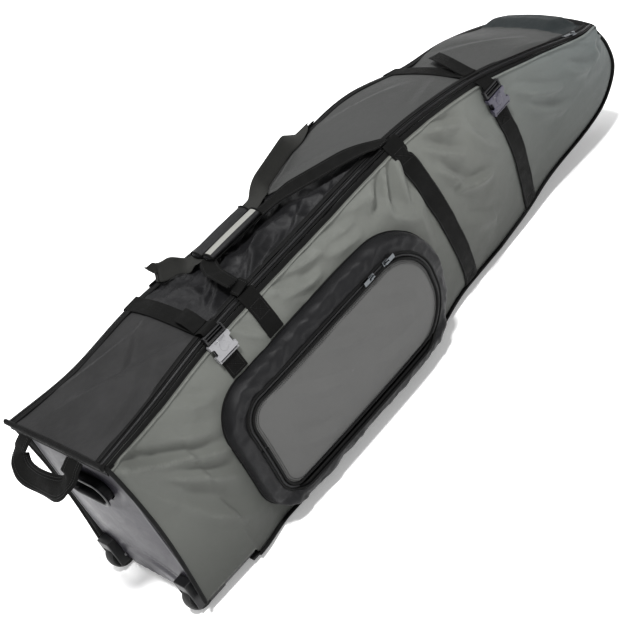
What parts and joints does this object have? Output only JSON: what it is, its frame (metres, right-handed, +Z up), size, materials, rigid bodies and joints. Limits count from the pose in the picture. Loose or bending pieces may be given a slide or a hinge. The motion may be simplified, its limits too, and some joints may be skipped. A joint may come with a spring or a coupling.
{
  "type": "golf travel case",
  "caption": "Soft wheeled golf travel case lying on its back, with a zipped lid, side pocket, compression straps with buckles, carry handles and a moulded wheeled end.",
  "frame": {"origin": "on the floor, under the middle of the case's length and width, on the flat part of its bottom", "axes": "+X from the wheeled end to the nose, +Z up, the pocket side is -Y"},
  "size_m": [1.4691, 0.3446, 0.434],
  "materials": {
    "grey_cloth": "coated woven polyester, slight sheen",
    "black_cloth": "black woven nylon, slight sheen",
    "webbing": "black woven webbing, matt",
    "shell_plastic": "satin moulded plastic",
    "black_plastic": "satin black moulded plastic",
    "grey_buckle": "light grey moulded plastic",
    "purple_buckle": "dark purple-grey moulded plastic",
    "silver_pull": "satin silver metal",
    "steel": "plain steel",
    "tyre": "black polyurethane",
    "stripe": "light grey tape",
    "board": "black sheet plastic",
    "foam": "dark foam"
  },
  "bodies": {
    "case": {"bottom_panel": "black_cloth", "nose_panel": "black_cloth", "side_panel_near": "grey_cloth", "side_panel_far": "grey_cloth", "end_shell": "shell_plastic", "grip_cup": "black_plastic", "lip_binding": "black_cloth", "piping_near": "black_cloth", "piping_far": "black_cloth", "zip_tape_body": "black_cloth", "base_board": "board", "inner_tie_strap": "webbing", "nose_foam_pad": "foam", "wheel_housing_near": "black_plastic", "wheel_housing_far": "black_plastic", "axle_near": "steel", "axle_far": "steel", "pocket_gusset": "black_cloth", "pocket_zip_tape": "black_cloth", "lower_strap": "webbing", "lower_strap_tail": "webbing", "lower_strap_near": "webbing", "lower_strap_far": "webbing", "lower_buckle_sleeve": "grey_buckle", "upper_strap": "webbing", "upper_strap_tail": "webbing", "upper_strap_near": "webbing", "upper_strap_far": "webbing", "upper_buckle_sleeve": "purple_buckle", "near_handle_strap_low": "webbing", "near_handle_strap_high": "webbing", "far_handle_strap_low": "webbing", "far_handle_strap_high": "webbing"},
    "wheel_near": {"tyre_near": "tyre", "hub_near": "black_plastic", "bearing_near": "steel"},
    "wheel_far": {"tyre_far": "tyre", "hub_far": "black_plastic", "bearing_far": "steel"},
    "lid": {"lid_panel": "black_cloth", "zip_tape_lid": "black_cloth"},
    "main_zip_slider": {"main_slider": "silver_pull"},
    "main_zip_pull": {"main_pull": "silver_pull"},
    "flap": {"pocket_flap": "grey_cloth", "pocket_rear_slider": "silver_pull"},
    "pocket_zip_slider": {"pocket_slider": "silver_pull"},
    "pocket_zip_pull": {"pocket_pull": "silver_pull"},
    "pocket_zip_rear_pull": {"pocket_rear_pull": "silver_pull"},
    "lower_plug": {"lower_buckle_plug": "grey_buckle"},
    "upper_plug": {"upper_buckle_plug": "purple_buckle"},
    "near_handle": {"near_handle_webbing": "webbing", "near_handle_grip": "webbing", "grip_wrap_stripe": "stripe"},
    "far_handle": {"far_handle_webbing": "webbing", "far_handle_grip": "webbing"},
    "haul": {"haul_handle": "webbing"}
  },
  "joints": [
    {"name": "wheel_near_spin", "type": "hinge", "parent": "case", "child": "wheel_near", "pos_m": [-0.684, -0.122, 0.03], "axis": [0, 1, 0], "continuous": true},
    {"name": "wheel_far_spin", "type": "hinge", "parent": "case", "child": "wheel_far", "pos_m": [-0.684, 0.122, 0.03], "axis": [0, 1, 0], "continuous": true},
    {"name": "lid_hinge", "type": "hinge", "parent": "case", "child": "lid", "pos_m": [-0.6945, 0, 0.3895], "axis": [0, -1, 0], "range_deg": [0, 95], "deforming": ["lower_strap", "lower_strap_tail", "upper_strap", "upper_strap_tail", "near_handle_webbing", "near_handle_grip", "grip_wrap_stripe", "far_handle_webbing", "far_handle_grip"]},
    {"name": "main_slider_slide", "type": "slide", "parent": "lid", "child": "main_zip_slider", "axis": [-0.9265, -0.0838, 0.3669], "range_m": [0, 0.05]},
    {"name": "main_pull_hinge", "type": "hinge", "parent": "main_zip_slider", "child": "main_zip_pull", "pos_m": [0.59211, -0.12897, 0.29504], "axis": [-0.0901, 0.9959, 0], "range_deg": [0, 160]},
    {"name": "pocket_flap_hinge", "type": "hinge", "parent": "case", "child": "flap", "pos_m": [-0.245, -0.16858, 0.0701], "axis": [0.9999, 0.0172, 0], "range_deg": [0, 80]},
    {"name": "pocket_slider_slide", "type": "slide", "parent": "flap", "child": "pocket_zip_slider", "axis": [-0.9998, -0.0185, 0], "range_m": [0, 0.14]},
    {"name": "pocket_pull_hinge", "type": "hinge", "parent": "pocket_zip_slider", "child": "pocket_zip_pull", "pos_m": [-0.09989, -0.17673, 0.27275], "axis": [0, 0, 1], "range_deg": [0, 160]},
    {"name": "pocket_rear_pull_hinge", "type": "hinge", "parent": "flap", "child": "pocket_zip_rear_pull", "pos_m": [-0.05989, -0.17667, 0.27275], "axis": [0, 0, -1], "range_deg": [0, 160]},
    {"name": "lower_buckle_release", "type": "slide", "parent": "case", "child": "lower_plug", "axis": [0.0005, 0.2357, 0.9718], "range_m": [0, 0.032], "deforming": ["lower_strap", "lower_strap_tail"]},
    {"name": "upper_buckle_release", "type": "slide", "parent": "case", "child": "upper_plug", "axis": [-0.0364, 0.1361, 0.99], "range_m": [0, 0.032], "deforming": ["upper_strap", "upper_strap_tail"]},
    {"name": "near_handle_swing", "type": "hinge", "parent": "case", "child": "near_handle", "pos_m": [-0.1045, -0.1157, 0.4085], "axis": [0.9997, -0.0023, 0.026], "range_deg": [0, 150]},
    {"name": "far_handle_swing", "type": "hinge", "parent": "case", "child": "far_handle", "pos_m": [-0.1185, 0.11689, 0.4088], "axis": [-0.9997, 0.0035, -0.0228], "range_deg": [0, 150]},
    {"name": "haul_handle_swing", "type": "hinge", "parent": "case", "child": "haul", "pos_m": [-0.7035, 0.012, 0.377], "axis": [0, 1, 0], "range_deg": [0, 100]}
  ]
}
